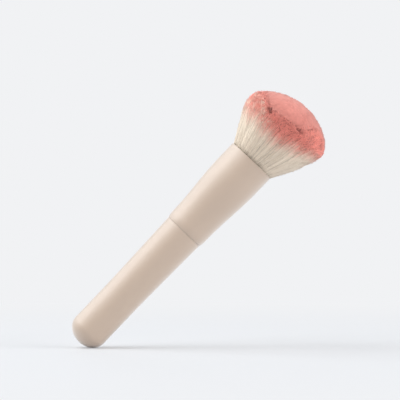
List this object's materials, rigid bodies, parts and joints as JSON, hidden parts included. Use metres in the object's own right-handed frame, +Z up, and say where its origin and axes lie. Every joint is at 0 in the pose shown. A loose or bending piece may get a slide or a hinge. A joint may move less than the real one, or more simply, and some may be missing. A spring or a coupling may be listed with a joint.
{
  "type": "blush brush",
  "caption": "Short blush brush: domed two-tone hair head in a flared ferrule on a smooth round handle with a domed butt, leaning on the butt.",
  "frame": {"origin": "on the table, under the middle of the leaning brush: midway between the butt and the head along X, on the brush's middle plane in Y", "axes": "+Z up from the table; the brush's axis lies in the XZ plane and leans up towards +X at 46.3 degrees above the table, with the butt on the table at -X and the head up at +X; +Y runs across the brush"},
  "size_m": [0.1158, 0.0423, 0.1194],
  "materials": {
    "handle_paint": "soft-touch matte coating, warm cream",
    "ferrule_paint": "sprayed matte coating over drawn aluminium, warm cream",
    "steel": "turned, bare",
    "rubber": "moulded, matte",
    "spigot_plastic": "moulded, as it leaves the tool",
    "resin": "cast, glossy",
    "thread": "waxed cotton",
    "hair": "fine synthetic hair, cream at the root and coral at the ends"
  },
  "bodies": {
    "root": {"handle": "handle_paint", "balance_weight": "steel", "weight_stopper": "rubber", "spigot": "spigot_plastic", "ferrule": "ferrule_paint", "root_resin": "resin", "root_binding": "thread", "bristles": "hair"}
  },
  "joints": []
}
